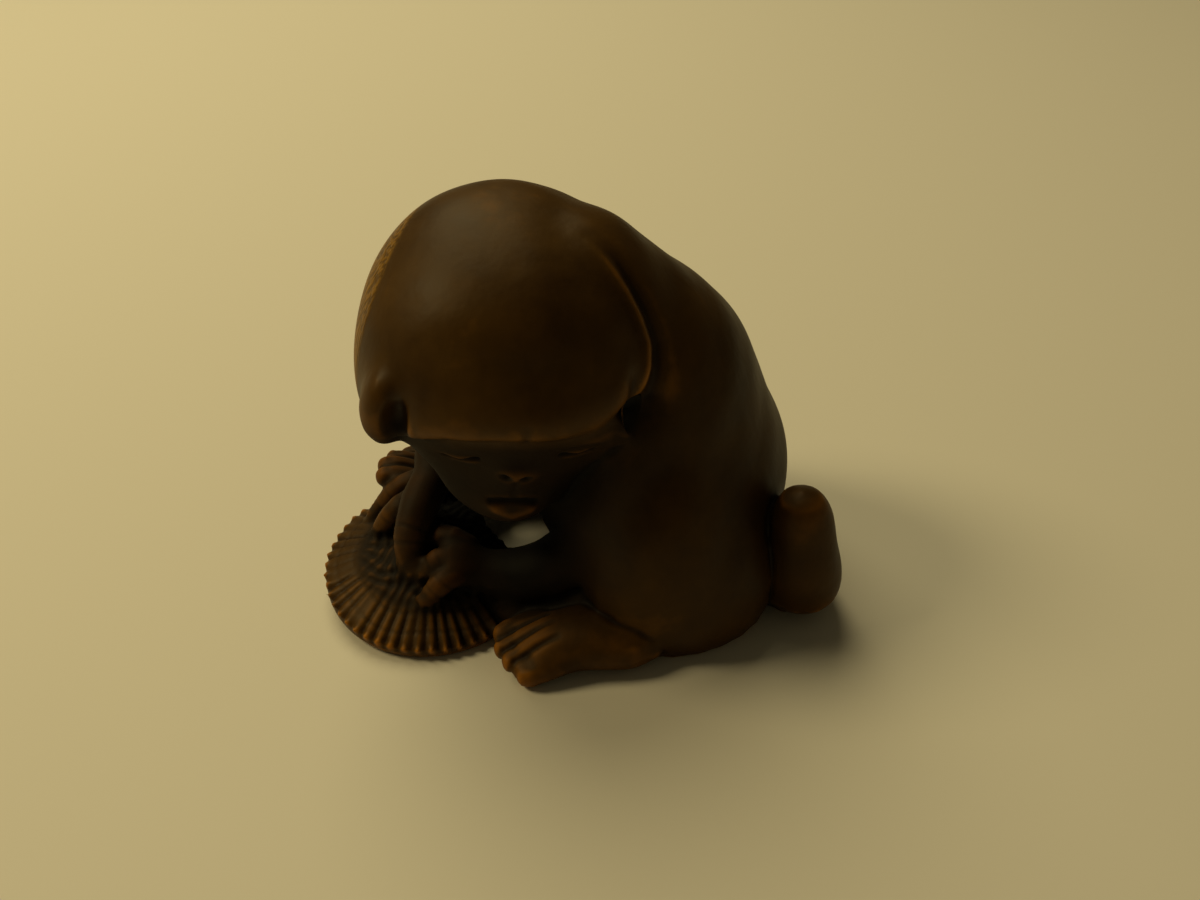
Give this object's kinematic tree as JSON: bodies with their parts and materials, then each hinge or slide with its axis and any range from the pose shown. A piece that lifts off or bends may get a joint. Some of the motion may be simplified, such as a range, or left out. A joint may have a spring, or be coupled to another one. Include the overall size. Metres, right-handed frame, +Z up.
{
  "type": "netsuke",
  "caption": "Carved boxwood netsuke of a young monkey bent over a ribbed shell that it holds with hands and feet, open under the arms for a cord.",
  "frame": {"origin": "middle of the bounding box in plan, on the flat underside that the carving rests on", "axes": "+Z up, -Y towards the monkey's front and the shell, +X towards its left side, where its head is turned"},
  "size_m": [0.025, 0.0358, 0.0299],
  "materials": {
    "boxwood": "dark stained and polished boxwood, worn warm and shiny on the high places"
  },
  "bodies": {
    "root": {"netsuke": "boxwood"}
  },
  "joints": []
}
